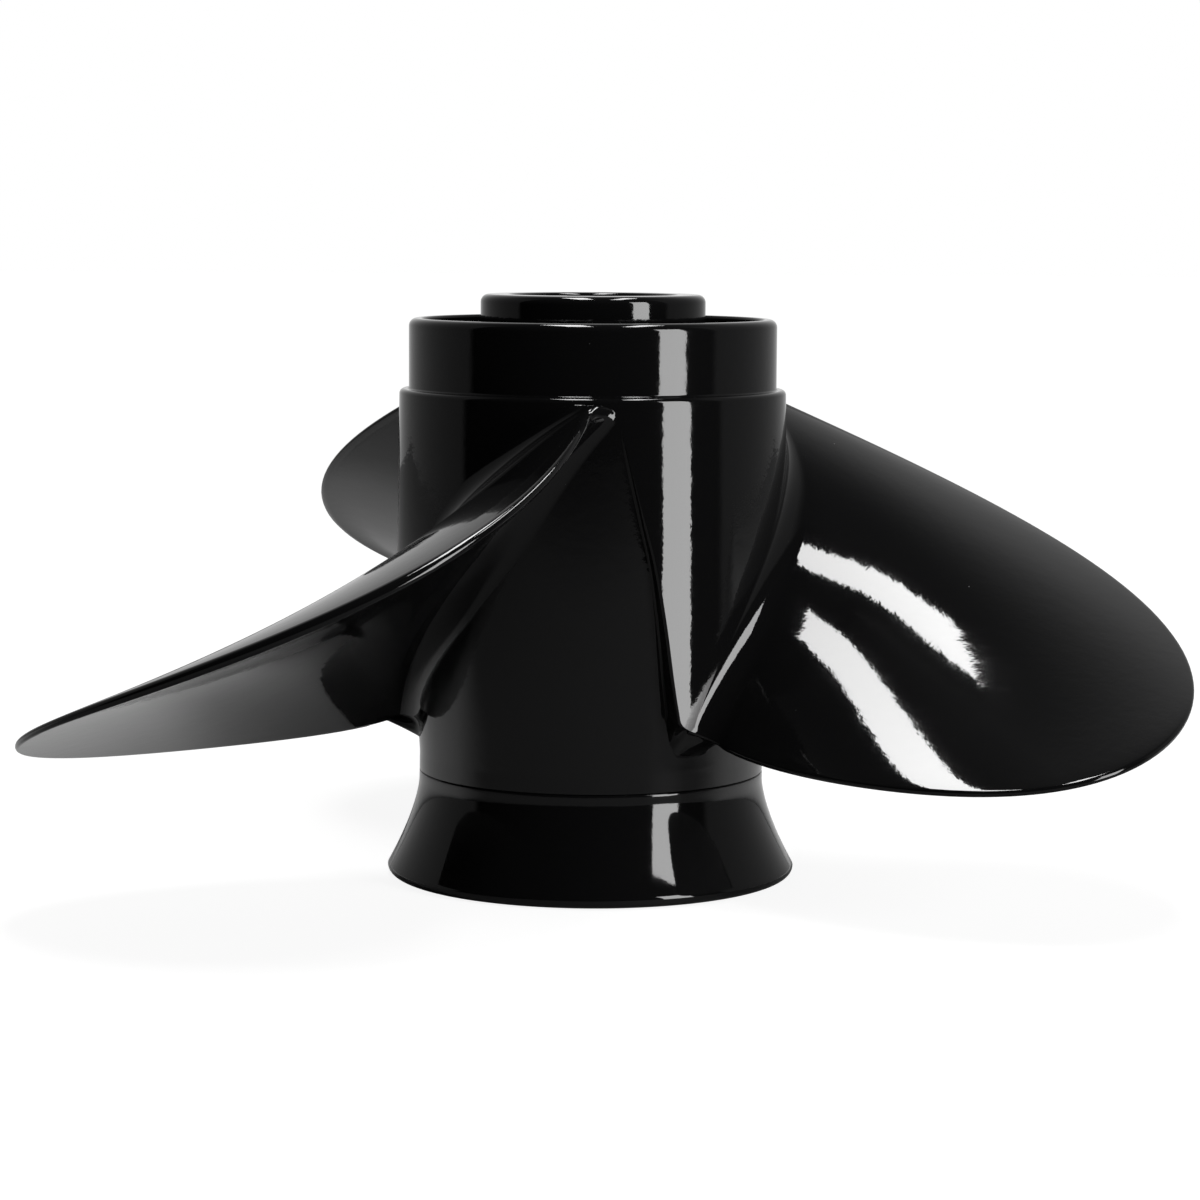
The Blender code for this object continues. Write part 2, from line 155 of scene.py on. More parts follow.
# Steps
CHORD_STEPS = 72
STATIONS = 44
FILLET_STEPS = 9
ROOT_STEPS = 3
ROOT_ROWS = FILLET_STEPS + ROOT_STEPS + 1
NOSE_STEPS = 8
BAND_ROWS = 8
NECK_ROWS = 4
LEDGE_STEPS = (4, 12, 12, 12, 10, 8, 6, 6)
FLARE_STEPS = 36
RING_WALL_STEPS = 24
RING_STEPS = 288
BUSHING_STEPS = 144
HUB_STEPS = 180
SPLINE_STEPS = 16

ROUND_ARC = 4  # tangent size of a half turn that reaches out by one millimetre
EXACT_WEIGHT = 1000.0  # of normals that are known, against one for those of a patch
UNROLLED = np.array([ROOT_RADIUS, 1.0])


# The laws of the blade, for arrays

def law(terms, share):
    """Powers of the span's share, and a last term that fades out from the root."""
    *powers, root_term = terms
    total = sum(value * share ** power for power, value in enumerate(powers))
    return total + root_term * np.exp(-np.maximum(share, -0.04) / ROOT_REACH)


def mix(first, second, share):
    return first + (second - first) * share


def smooth(share):
    share = np.clip(share, 0.0, 1.0)
    return share * share * (3 - 2 * share)


def span_share(radius):
    return (radius - ROOT_RADIUS) / (TIP_RADIUS - ROOT_RADIUS)


def middle(radius):
    return np.radians(law(MID_ANGLE, span_share(radius)))


def closing(share, power):
    return np.sqrt(np.maximum(0.0, 1 - np.maximum(share, 0.0) ** power))


def half_width(radius):
    share = span_share(radius)
    return np.radians(law(HALF_ANGLE, share)) * closing(share, TIP_ROUNDNESS)


def helix_rise(radius):
    return law(PITCH, span_share(radius)) / (2 * pi)


def pitch_slope(radius):
    return np.arctan2(helix_rise(radius), radius)


def face_height(radius, angle):
    middle_height = law(MID_HEIGHT, span_share(radius))
    return middle_height + helix_rise(radius) * (angle - middle(radius))


def edge_angle(radius, side):
    """Angle of the leading edge (side 1) or the trailing edge (side -1)."""
    angle = middle(radius) + side * half_width(radius)
    if side > 0:
        angle = angle - LEAD_PULL * np.exp(-(radius - ROOT_RADIUS) / LEAD_PULL_REACH)
    return angle


def edge_lean(radius, side):
    """How far the edge moves along the chord for each millimetre of radius."""
    step = 1e-4
    turn = (edge_angle(radius, side) - edge_angle(radius - step, side)) / step
    return radius * turn / np.cos(pitch_slope(radius))


def edge_inset(radius, side):
    share = np.clip(span_share(radius), 0.0, 1.0)
    root_inset = LEAD_INSET if side > 0 else EDGE_INSET
    return mix(root_inset, EDGE_INSET, share ** 16)


def inset_edge(radius, side):
    """Radius and angle just inside the outline, where the rounded edge starts."""
    lean = edge_lean(radius, side)
    norm = np.sqrt(1 + lean ** 2)
    inset = edge_inset(radius, side)
    inner_radius = radius + side * inset * lean / norm
    turn = inset * np.cos(pitch_slope(radius)) / (radius * norm)
    return inner_radius, edge_angle(radius, side) - side * turn


def chord_angle(radius, along):
    """Angle at a share of the chord, from the leading edge's inset to the trailing edge's."""
    turn = np.cos(pitch_slope(radius)) / radius
    norm = np.sqrt(1 + edge_lean(radius, 1) ** 2)
    lead = edge_angle(radius, 1) - edge_inset(radius, 1) * norm * turn
    trail = edge_angle(radius, -1) + EDGE_INSET * turn
    return mix(lead, trail, along)


def thickness(radius, angle):
    share = span_share(radius)
    half = np.maximum(half_width(radius), 1e-4)
    along = np.clip((middle(radius) + half - angle) / (2 * half), 0.0, 1.0)
    belly = (4 * along * (1 - along)) ** FULLNESS
    thickest = mix(ROOT_THICKNESS, TIP_THICKNESS, share)
    return mix(EDGE_THICKNESS, thickest, belly * closing(share, TIP_THINNING))


def hollow(radius, along):
    """Depth of the back's hollow, which bends the reflections near the root."""
    over = (span_share(radius) - HOLLOW_SPAN[0]) / HOLLOW_SPAN[1]
    across = (along - HOLLOW_CHORD[0]) / HOLLOW_CHORD[1]
    ends = np.clip(8 * along * (1 - along), 0.0, 1.0)
    return HOLLOW_DEPTH * ends * np.exp(-over ** 2 - across ** 2)


def droop(radius, along):
    """How far the face lies below the helix near the leading edge, which makes a full nose."""
    share = span_share(radius)
    near_tip = np.clip(share / span_share(TIP_RADIUS - EDGE_INSET), 0.0, 1.0)
    spread = smooth((share - 0.04) / 0.6) * (1 - near_tip ** 12)
    return LEAD_DROOP * spread * np.maximum(0.0, 1 - along / DROOP_REACH) ** 2


def lifted(radius, angle, offset):
    """The point at a distance from the pressure face, square to it."""
    slope = pitch_slope(radius)
    around = angle - offset * np.sin(slope) / radius
    return np.stack([radius, around, face_height(radius, angle) + offset * np.cos(slope)], axis=-1)


def back_surface(radius, angle, along):
    return lifted(radius, angle, thickness(radius, angle) - hollow(radius, along))


def face_surface(radius, angle, along):
    return lifted(radius, angle, -droop(radius, along))


def back_point(radius, along):
    return back_surface(radius, chord_angle(radius, along), along)


def face_point(radius, along):
    return face_surface(radius, chord_angle(radius, along), along)


# Radii of the barrel

def front_radius(height):
    return BARREL_RADIUS + FRONT_DRAFT * (SHOULDER_Z - height)


def flare_radius(height):
    rise = (NECK_Z - height) / (NECK_Z - FLARE_START_Z)
    above = mix(NECK_RADIUS, FLARE_START_RADIUS, rise)
    share = np.clip((FLARE_START_Z - height) / (FLARE_START_Z - CREST_Z), 0.0, 1.0)
    below = mix(FLARE_START_RADIUS, CREST_RADIUS, share ** FLARE_RISE)
    return np.where(height > FLARE_START_Z, above, below)


def aft_radius(height):
    """The cone behind the parting line, which meets the front part where the ledge starts."""
    rise = (front_radius(LEDGE_START_Z) - NECK_RADIUS) / (LEDGE_START_Z - NECK_Z)
    return np.where(height > NECK_Z, NECK_RADIUS + rise * (height - NECK_Z), flare_radius(height))


def passage_radius(height):
    share = np.clip((height - HUB_AFT_Z) / (PILOT_Z - HUB_AFT_Z), 0.0, 1.0)
    return mix(PASSAGE_AFT_RADIUS, PASSAGE_FRONT_RADIUS, share)


# Tools for patches of points

def to_xyz(points):
    radius, angle, height = np.moveaxis(points, -1, 0)
    return np.stack([radius * np.cos(angle), radius * np.sin(angle), height], axis=-1)


def turned_by(points, angle):
    return points + (0.0, angle, 0.0)


def length(vectors):
    return np.linalg.norm(vectors, axis=-1, keepdims=True)


def unit(vectors):
    return vectors / np.maximum(length(vectors), 1e-12)


def grid_normals(xyz):
    """Normals of a patch, from the lines through its points, or zero where it has no area."""
    normals = np.cross(np.gradient(xyz, axis=1), np.gradient(xyz, axis=0))
    return np.where(length(normals) > 1e-9, unit(normals), 0.0)


def spline(anchors, counts):
    """A smooth line through the anchors, with so many steps in each stretch."""
    anchors = np.asarray(anchors, float)
    padded = np.vstack([2 * anchors[0] - anchors[1], anchors, 2 * anchors[-1] - anchors[-2]])
    line = []
    for i, count in enumerate(counts):
        p0, p1, p2, p3 = padded[i:i + 4]
        for j in range(count):
            t = j / count
            line.append(0.5 * (2 * p1 + (p2 - p0) * t + (2 * p0 - 5 * p1 + 4 * p2 - p3) * t ** 2
                               + (3 * p1 - p0 - 3 * p2 + p3) * t ** 3))
    line.append(anchors[-1])
    return np.array(line)


def reach(first, second):
    """Tangent size that makes a round arc for the angle between two directions."""
    turn = np.degrees(np.arccos(np.clip(np.sum(first * second, axis=-1, keepdims=True), -1, 1)))
    return np.where(turn > 90, 1.17 + 0.83 * (turn - 90) / 90, 1.0 + 0.17 * turn / 90)


def arcs(start, end, start_way, end_way, size):
    """Arcs from each start point to each end point, as (NOSE_STEPS + 1, n, 3)."""
    rows = []
    for i in range(NOSE_STEPS + 1):
        t = i / NOSE_STEPS
        ways = (t ** 3 - 2 * t ** 2 + t) * size * start_way + (t ** 3 - t ** 2) * size * end_way
        rows.append(mix(start, end, 3 * t ** 2 - 2 * t ** 3) + ways)
    return np.array(rows)


def place_key(point):
    return tuple(round(value, 5) + 0.0 for value in point)


class Shell:
    """Collects patches and joins them where they share points."""

    def __init__(self):
        self.places = {}
        self.points = []
        self.normals = []
        self.faces = []

    def index(self, point):
        key = place_key(point)
        if key not in self.places:
            self.places[key] = len(self.points)
            self.points.append(key)
            self.normals.append([])
        return self.places[key]

    def add(self, xyz, normals=None, weight=1.0, closed=False):
        rows, columns = xyz.shape[:2]
        if normals is None:
            normals = grid_normals(xyz)
        ids = [[self.index(point) for point in row] for row in xyz]
        for i in range(rows):
            for j in range(columns):
                self.normals[ids[i][j]].append((weight, tuple(normals[i, j])))
        last = columns if closed else columns - 1
        for i in range(rows - 1):
            for j in range(last):
                k = (j + 1) % columns
                self.face([ids[i][j], ids[i][k], ids[i + 1][k], ids[i + 1][j]])

    def face(self, corners):
        kept = [c for n, c in enumerate(corners) if c != corners[n - 1]]
        if len(set(kept)) > 2 and len(set(kept)) == len(kept):
            self.faces.append(kept)

    def stitch(self, first, second):
        """Fills the flat band between two closed rings that have different numbers of points."""
        loops = []
        for ring in (first, second):
            loop = sorted((np.arctan2(p[1], p[0]), self.index(p)) for p in ring)
            loops.append(loop + [(loop[0][0] + 2 * pi, loop[0][1])])
        a, b = loops
        i = 0
        j = 0
        while i + 1 < len(a) or j + 1 < len(b):
            if j + 1 == len(b) or (i + 1 < len(a) and a[i + 1][0] <= b[j + 1][0]):
                self.face([a[i][1], a[i + 1][1], b[j][1]])
                i += 1
            else:
                self.face([a[i][1], b[j + 1][1], b[j][1]])
                j += 1


# One blade and the barrel around its root, as patches in its own sector

def chord_shares():
    even = np.arange(CHORD_STEPS + 1) / CHORD_STEPS
    return 0.45 * even + 0.55 * (1 - np.cos(pi * even)) / 2


def edge_radii(side):
    """Radii of the stations along one edge, from the end of the root rows to the tip."""
    root_height = face_height(ROOT_PROBE_RADIUS, edge_angle(ROOT_PROBE_RADIUS, side))
    spread = np.sin(pi / 2 * np.arange(STATIONS + 1) / STATIONS)
    return mix(front_radius(root_height) + BLADE_TOP_LIFT, TIP_RADIUS, spread)


def settle(surface, hub_radius, lift, along):
    """Points of a blade surface at a height above the hub."""
    radius = np.full_like(along, ROOT_RADIUS)
    for _ in range(5):
        point = surface(radius, along)
        radius = hub_radius(point[..., 2]) + lift
    return surface(radius, along)


def fillet_row(corner, toe, top, turn):
    return corner + (toe - corner) * (1 - sin(turn)) + (top - corner) * (1 - cos(turn))


def root_row(surface, hub_radius, side, sizes, along, turn):
    """One row of the root fillet on one side of the blade."""
    corner = settle(surface, hub_radius, 0.0, along)
    top = settle(surface, hub_radius, sizes, along)
    slope = pitch_slope(corner[..., 0])
    toe = corner.copy()
    toe[..., 1] -= side * sizes * np.sin(slope) / corner[..., 0]
    toe[..., 2] = np.minimum(toe[..., 2] + side * sizes * np.cos(slope), TOE_CEILING)
    toe[..., 0] = hub_radius(toe[..., 2])
    return fillet_row(corner, toe, top, turn)


def blade_sides():
    """The back and the face as grids: rows from the toe to the tip, columns along the chord."""
    along = chord_shares()
    lead = inset_edge(edge_radii(1), 1)
    trail = inset_edge(edge_radii(-1), -1)
    radius = mix(lead[0][:, None], trail[0][:, None], along)
    angle = mix(lead[1][:, None], trail[1][:, None], along)
    radius[-1] = TIP_RADIUS - EDGE_INSET
    angle[-1] = middle(TIP_RADIUS)
    face_sizes = mix(*FACE_FILLET[:2], smooth(along / 0.4))
    face_sizes = mix(face_sizes, FACE_FILLET[2], smooth((along - 0.5) / 0.5))
    back_rows = []
    face_rows = []
    for i in range(FILLET_STEPS + 1):
        turn = pi / 2 * i / FILLET_STEPS
        shifted = along * (1 + FILLET_REACH_PAST_EDGE * (1 - sin(turn)))
        back_sizes = mix(*BACK_FILLET, smooth(shifted / 0.35))
        back_rows.append(root_row(back_point, front_radius, 1, back_sizes, shifted, turn))
        face_rows.append(root_row(face_point, aft_radius, -1, face_sizes, along, turn))
    for rows, surface in ((back_rows, back_point), (face_rows, face_point)):
        low = rows[-1][:, 0]
        for i in range(1, ROOT_STEPS):
            rows.append(surface(mix(low, radius[0], i / ROOT_STEPS), along))
    return (np.concatenate([back_rows, back_surface(radius, angle, along)]),
            np.concatenate([face_rows, face_surface(radius, angle, along)]))


def edge_directions(radius, side):
    """Directions that point out of the blade's outline, along its surface."""
    angle = edge_angle(radius, side)
    slope = pitch_slope(radius)[:, None]
    lean = edge_lean(radius, side)[:, None]
    norm = np.sqrt(1 + lean ** 2)
    around = np.stack([-np.sin(angle), np.cos(angle), 0 * angle], axis=-1)
    outward = np.stack([np.cos(angle), np.sin(angle), 0 * angle], axis=-1)
    up = np.array([0.0, 0.0, 1.0])
    helix = around * np.cos(slope) + up * np.sin(slope)
    rake = (face_height(radius + 0.01, angle) - face_height(radius - 0.01, angle)) / 0.02
    spanwise = outward + up * rake[:, None]
    spanwise = unit(spanwise - helix * np.sum(spanwise * helix, axis=-1, keepdims=True))
    return unit(helix * (side / norm) - spanwise * (side * lean / norm))


def across_edge(edge, inner, line):
    """Direction out of a patch at its edge, square to the edge's line."""
    way = edge - inner
    run = unit(np.gradient(line, axis=0))
    return unit(way - run * np.sum(way * run, axis=-1, keepdims=True))


# The patches of one sector, as (radius, angle, height) unless they are called xyz

def in_radians(points):
    return np.array(points) * (pi / 180, 1.0)


def on_barrel(line, radius_of):
    """Points of the barrel at a line of angles and heights."""
    return np.concatenate([radius_of(line[:, 1:]), line], axis=-1)


def nose_patch(back, face):
    """Nose of the leading edge over the root rows, drawn on the unrolled hub."""
    start, start_inner = back[:ROOT_ROWS, 0], back[:ROOT_ROWS, 1]
    end, end_inner = face[:ROOT_ROWS, 0], face[:ROOT_ROWS, 1]
    flat_start = start[:, 1:] * UNROLLED
    flat_end = end[:, 1:] * UNROLLED
    start_way = unit(flat_start - start_inner[:, 1:] * UNROLLED)
    end_way = unit(end_inner[:, 1:] * UNROLLED - flat_end)
    climb = np.minimum(np.arange(ROOT_ROWS) / FILLET_STEPS, 1.0)
    turns = pi / 2 * climb
    fall = mix(1 - np.sin(turns), 1 - climb, NOSE_FLATNESS)
    size = ROUND_ARC * (edge_inset(start[:, 0], 1) + NOSE_FILLET * fall)
    nose = np.zeros((NOSE_STEPS + 1, ROOT_ROWS, 3))
    nose[..., 1:] = arcs(flat_start, flat_end, start_way, end_way, size[:, None]) / UNROLLED
    nose[..., 2] = np.minimum(nose[..., 2], TOE_CEILING)
    split = int(np.argmax(nose[:, 0, 1]))
    start_lift = start[:, 0] - front_radius(start[:, 2])
    end_lift = end[:, 0] - aft_radius(end[:, 2])
    for i in range(NOSE_STEPS + 1):
        share = i / NOSE_STEPS
        lift = mix(start_lift, end_lift, share)
        flatter = NOSE_FLATNESS * sin(pi * share) * (climb - (1 - np.cos(turns)))
        hub = front_radius if i <= split else aft_radius
        nose[i, :, 0] = hub(nose[i, :, 2]) + lift + lift[FILLET_STEPS] * flatter
    nose[0] = start
    nose[-1] = end
    return nose, split


def wall_rows(corner, toe, top, wall_top, flatness):
    """Rows of a wall from its toe up, with a fillet that flatness turns into a plain slope."""
    rows = []
    for i in range(FILLET_STEPS + 1):
        rounded = fillet_row(corner, toe, top, pi / 2 * i / FILLET_STEPS)
        rows.append(mix(rounded, mix(toe, top, i / FILLET_STEPS), flatness))
    for i in range(1, ROOT_STEPS + 1):
        rows.append(mix(top, wall_top, i / ROOT_STEPS))
    return np.array(rows)


def ledge_patch(ledge_from, tip_of_v):
    """The ledge between this blade's leading edge and the next blade's trailing edge.

    Gives the line where its rounded corner starts, its wall's rows, and the wall's last corner,
    last top and the fillet's share of the wall there.
    """
    rim = spline([ledge_from[1:], *in_radians(LEDGE_RIM), tip_of_v[1:]], LEDGE_STEPS)
    toe_line = spline([ledge_from[1:], *in_radians(LEDGE_TOE)], LEDGE_STEPS)
    share = (np.arange(len(rim)) / (len(rim) - 1))[:, None]
    step_height = np.maximum(front_radius(rim[:, 1]) - aft_radius(rim[:, 1]), 0.0)
    step_height[0] = 0.0
    rounding = np.minimum(LEDGE_ROUND, 0.4 * step_height)
    run = unit(np.gradient(rim * UNROLLED, axis=0))
    away = np.stack([-run[:, 1], run[:, 0]], axis=-1)
    away = away * np.sign(away[:, :1] + 1e-9)
    inward = away * rounding[:, None] / UNROLLED
    upper = on_barrel(rim + inward * smooth((1 - share) / 0.1), front_radius)
    upper[0] = ledge_from
    upper[-1] = tip_of_v
    wall_top = on_barrel(rim, front_radius)
    wall_top[:, 0] -= rounding
    wall_top[-1, 1:] = tip_of_v[1:] - inward[-1]
    wall_top[0] = ledge_from
    corner = on_barrel(wall_top[:, 1:], aft_radius)
    corner[0] = ledge_from
    toe = on_barrel(toe_line, aft_radius)
    toe[0] = ledge_from
    drop = wall_top[:, 0] - corner[:, 0]
    spread_out = length((toe[:, 1:] - corner[:, 1:]) * UNROLLED)[:, 0]
    lift = np.minimum(np.maximum(spread_out, LEDGE_FILLET), drop * 0.9)
    top = corner.copy()
    top[:, 0] += lift
    flatness = mix(*LEDGE_FLATNESS, smooth((share - 0.6) / 0.4))
    wall = wall_rows(corner, toe, top, wall_top, flatness)
    return upper, wall, corner[-1], wall_top[-1], lift[-1] / max(drop[-1], 1e-6)


def fan_patch(back, face, first_corner, first_wall, first_lift):
    """The web around the trailing edge's root, from the tip of the V to the blade's face."""
    crossing = back[:ROOT_ROWS, -1]
    strides = length(np.diff(to_xyz(crossing), axis=0))
    path = np.concatenate([[[0.0]], np.cumsum(strides, axis=0)])
    part = path / path[-1]
    toe_line = spline([*in_radians(FAN_TOE), face[0, -1, 1:]], (2,) * len(FAN_TOE))
    last_wall = face[ROOT_ROWS - 1, -1]
    wall_top = crossing + mix(first_wall - crossing[0], last_wall - crossing[-1], part)
    last_corner = face_point(aft_radius(np.array(FAN_CORNER_Z)), np.array(1.0))
    corner = mix(first_corner, last_corner, smooth(part))
    corner[:, 0] = aft_radius(corner[:, 2])
    last_lift = (face[FILLET_STEPS, -1, 0] - corner[-1, 0]) / (last_wall[0] - corner[-1, 0])
    lift = mix(mix(first_lift, last_lift, part), WEB_LIFT, np.sin(pi * part))
    top = mix(corner, wall_top, lift)
    flatness = LEDGE_FLATNESS[1] * (1 - smooth((part - 0.75) / 0.25))
    fan = wall_rows(corner, on_barrel(toe_line, aft_radius), top, wall_top, flatness)
    fan[:, -1] = face[:ROOT_ROWS, -1]
    return fan


def band_rows(edge, radius_of, end, shares, beyond=()):
    """Rows of the barrel from the edge to a level end, then on at the heights beyond it."""
    above = edge[:, 0] - radius_of(edge[:, 2])
    levels = [(mix(edge[:, 2], end, share), share) for share in shares]
    levels += [(height, 1.0) for height in beyond]
    rows = []
    for height, share in levels:
        row = edge.copy()
        row[:, 2] = height
        row[:, 0] = radius_of(row[:, 2]) + above * (1 - share)
        rows.append(row)
    return np.array(rows)


def rounded_edge(back, face, lower, upper, above_upper):
    """Ledge's corner, trailing edge, tip and leading edge as one rounded xyz patch."""
    top = ROOT_ROWS - 1
    back = to_xyz(back)
    face = to_xyz(face)
    lower = to_xyz(lower)
    high = np.concatenate([to_xyz(upper), back[:, -1], back[top:-1, 0][::-1]])
    low = np.concatenate([lower[-1], face[top + 1:, -1], face[top:-1, 0][::-1]])
    high_inner = np.concatenate([to_xyz(above_upper), back[:, -2], back[top:-1, 1][::-1]])
    low_inner = np.concatenate([lower[-2], face[top + 1:, -2], face[top:-1, 1][::-1]])
    line = (high + low) / 2
    high_way = across_edge(high, high_inner, line)
    low_way = across_edge(low, low_inner, line)
    trail = edge_radii(-1)
    lead = edge_radii(1)[:-1]
    blade_ways = np.concatenate([edge_directions(trail, -1), edge_directions(lead, 1)[::-1]])
    blade_part = len(high) - len(blade_ways)
    high_way[blade_part:] = blade_ways
    low_way[blade_part:] = blade_ways
    size = length(low - high) * reach(high_way, -low_way)
    insets = np.concatenate([edge_inset(trail, -1), edge_inset(lead, 1)[::-1]])
    size[blade_part:, 0] = ROUND_ARC * insets
    return arcs(high, low, high_way, -low_way, size)


def build_sector():
    """One third of the outside: its xyz patches, and the two bands of the barrel."""
    back, face = blade_sides()
    nose, split = nose_patch(back, face)
    tip_of_v = turned_by(back[0, -1], SECTOR)
    upper, ledge, last_corner, last_top, last_lift = ledge_patch(nose[split, 0], tip_of_v)
    fan = fan_patch(back, face, turned_by(last_corner, -SECTOR), turned_by(last_top, -SECTOR), last_lift)
    fan[:, 0] = turned_by(ledge[:, -1], -SECTOR)
    lower = np.concatenate([turned_by(ledge, -SECTOR)[:, :-1], fan], axis=1)
    front_edge = np.concatenate([back[0, ::-1], nose[1:split + 1, 0], upper[1:]])
    aft_edge = np.concatenate([fan[0], face[0, ::-1][1:], nose[split:-1, 0][::-1], ledge[0, 1:]])
    shares = np.arange(BAND_ROWS + 1) / BAND_ROWS
    neck = [mix(NECK_Z, SEAM_Z + SEAM_ROUND, i / NECK_ROWS) for i in range(1, NECK_ROWS + 1)]
    front_band = band_rows(front_edge, front_radius, SHOULDER_Z - SHOULDER_ROUND, shares)
    aft_band = band_rows(aft_edge, aft_radius, NECK_Z, shares ** 2, neck)
    above_upper = turned_by(front_band[1, -len(upper):], -SECTOR)[:-1]
    edge = rounded_edge(back, face, lower, turned_by(upper, -SECTOR)[:-1], above_upper)
    nose = to_xyz(nose)
    nose[:, -1] = edge[:, -1]
    return [to_xyz(back), to_xyz(face), to_xyz(lower), edge, nose], front_band, aft_band


def spin_xyz(xyz, angle):
    x, y, z = np.moveaxis(xyz, -1, 0)
    return np.stack([x * cos(angle) - y * sin(angle), x * sin(angle) + y * cos(angle), z], axis=-1)


def round_normals(points, radius_of):
    """Normals of a surface of revolution at its points."""
    _, angle, height = np.moveaxis(points, -1, 0)
    lean = (radius_of(height + 0.05) - radius_of(height - 0.05)) / 0.1
    return unit(np.stack([np.cos(angle), np.sin(angle), -lean], axis=-1))


def plain_arc(centre_r, centre_z, size_r, size_z, start, end, steps):
    """(radius, height) around a rounded corner, angles in degrees."""
    points = []
    for i in range(steps + 1):
        turn = radians(start + (end - start) * i / steps)
        points.append((centre_r + size_r * cos(turn), centre_z + size_z * sin(turn)))
    return points


def corner_arc(centre_r, centre_z, size, start, end, steps):
    """(radius, height, normal out, normal up) of a corner, a hollow one if the size is negative."""
    arc = plain_arc(centre_r, centre_z, abs(size), abs(size), start, end, steps)
    return [(r, z, (r - centre_r) / size, (z - centre_z) / size) for r, z in arc]


def ring_patch(shell, angles, profile):
    """A turned patch with the profile's own normals."""
    radius, height, out, up = np.array(profile).T[:, :, None]
    cosine = np.cos(angles)
    sine = np.sin(angles)
    flat = np.ones_like(angles)
    xyz = np.stack([radius * cosine, radius * sine, height * flat], axis=-1)
    normals = np.stack([out * cosine, out * sine, up * flat], axis=-1)
    shell.add(xyz, normals, EXACT_WEIGHT, closed=True)
    return xyz


def outer_shell():
    """The outside of the casting, from the front rim's inner edge to the counterbore's end."""
    shell = Shell()
    patches, front_band, aft_band = build_sector()
    for blade in range(3):
        turn = blade * SECTOR
        for patch in patches:
            shell.add(spin_xyz(patch, turn))
        for band, radius_of in ((front_band, front_radius), (aft_band, aft_radius)):
            normals = round_normals(turned_by(band, turn), radius_of)
            shell.add(spin_xyz(to_xyz(band), turn), normals, EXACT_WEIGHT)
    turns = SECTOR * np.arange(3)[:, None]
    front_angles = (front_band[-1, :-1, 1] + turns).ravel()
    aft_angles = (aft_band[-1, :-1, 1] + turns).ravel()

    shoulder_low = SHOULDER_Z - SHOULDER_ROUND
    shoulder_r = float(front_radius(shoulder_low))
    profile = corner_arc(shoulder_r - SHOULDER_ROUND, shoulder_low, SHOULDER_ROUND, 0, 90, 6)
    foot = PILOT_FOOT_ROUND
    profile += corner_arc(PILOT_RADIUS + foot, SHOULDER_Z + foot, -foot, 270, 180, 5)
    for share in (0.33, 0.66):
        profile.append((PILOT_RADIUS, mix(SHOULDER_Z + foot, PILOT_Z - PILOT_ROUND, share), 1.0, 0.0))
    profile += corner_arc(PILOT_RADIUS - PILOT_ROUND, PILOT_Z - PILOT_ROUND, PILOT_ROUND, 0, 90, 10)
    inner = float(passage_radius(PILOT_Z - RIM_ROUND))
    profile += corner_arc(inner + RIM_ROUND, PILOT_Z - RIM_ROUND, RIM_ROUND, 90, 180, 5)
    ring_patch(shell, front_angles, profile)

    seam_r = float(flare_radius(SEAM_Z + SEAM_ROUND))
    profile = corner_arc(seam_r - SEAM_ROUND, SEAM_Z + SEAM_ROUND, SEAM_ROUND, 0, -90, 4)
    seam_ring = ring_patch(shell, aft_angles, profile)[-1]
    bore = [(COUNTERBORE_RADIUS, height, -1.0, 0.0) for height in (SEAM_Z, COUNTERBORE_Z)]
    bore_ring = ring_patch(shell, front_angles, bore)
    shell.stitch(seam_ring, bore_ring[0])
    step = [(radius, COUNTERBORE_Z, 0.0, -1.0) for radius in (COUNTERBORE_RADIUS, PASSAGE_AFT_RADIUS)]
    ring_patch(shell, front_angles, step)
    return shell, front_angles


# Inner tube, ribs and bore

def add_object(name, data):
    made = bpy.data.objects.new(name, data)
    bpy.context.scene.collection.objects.link(made)
    return made


def plain_object(name, vertices, faces):
    mesh = bpy.data.meshes.new(name)
    mesh.from_pydata(vertices, [], faces)
    mesh.update()
    work = bmesh.new()
    work.from_mesh(mesh)
    bmesh.ops.recalc_face_normals(work, faces=work.faces)
    work.to_mesh(mesh)
    work.free()
    return add_object(name, mesh)


def ring_faces(rings, closed):
    """Quads between rings that run all the way round, or that have a cap at both ends."""
    count = len(rings[0])
    pairs = list(zip(rings, rings[1:]))
    if closed:
        pairs.append((rings[-1], rings[0]))
    faces = []
    for first, second in pairs:
        for i in range(count):
            j = (i + 1) % count
            faces.append((first[i], first[j], second[j], second[i]))
    if not closed:
        faces += [tuple(rings[0]), tuple(rings[-1])]
    return faces


def number_rings(count, size):
    return [range(i * size, (i + 1) * size) for i in range(count)]


def even_angles(count):
    return [2 * pi * i / count for i in range(count)]


def turned_points(angles, profile):
    return [(radius * cos(angle), radius * sin(angle), height)
            for radius, height in profile for angle in angles]


def turned_object(name, angles, profile, closed=False):
    rings = number_rings(len(profile), len(angles))
    return plain_object(name, turned_points(angles, profile), ring_faces(rings, closed))


def quarter(steps):
    """(1 - sin, 1 - cos) over a quarter turn."""
    turns = [pi / 2 * i / steps for i in range(steps + 1)]
    return [(1 - sin(turn), 1 - cos(turn)) for turn in turns]


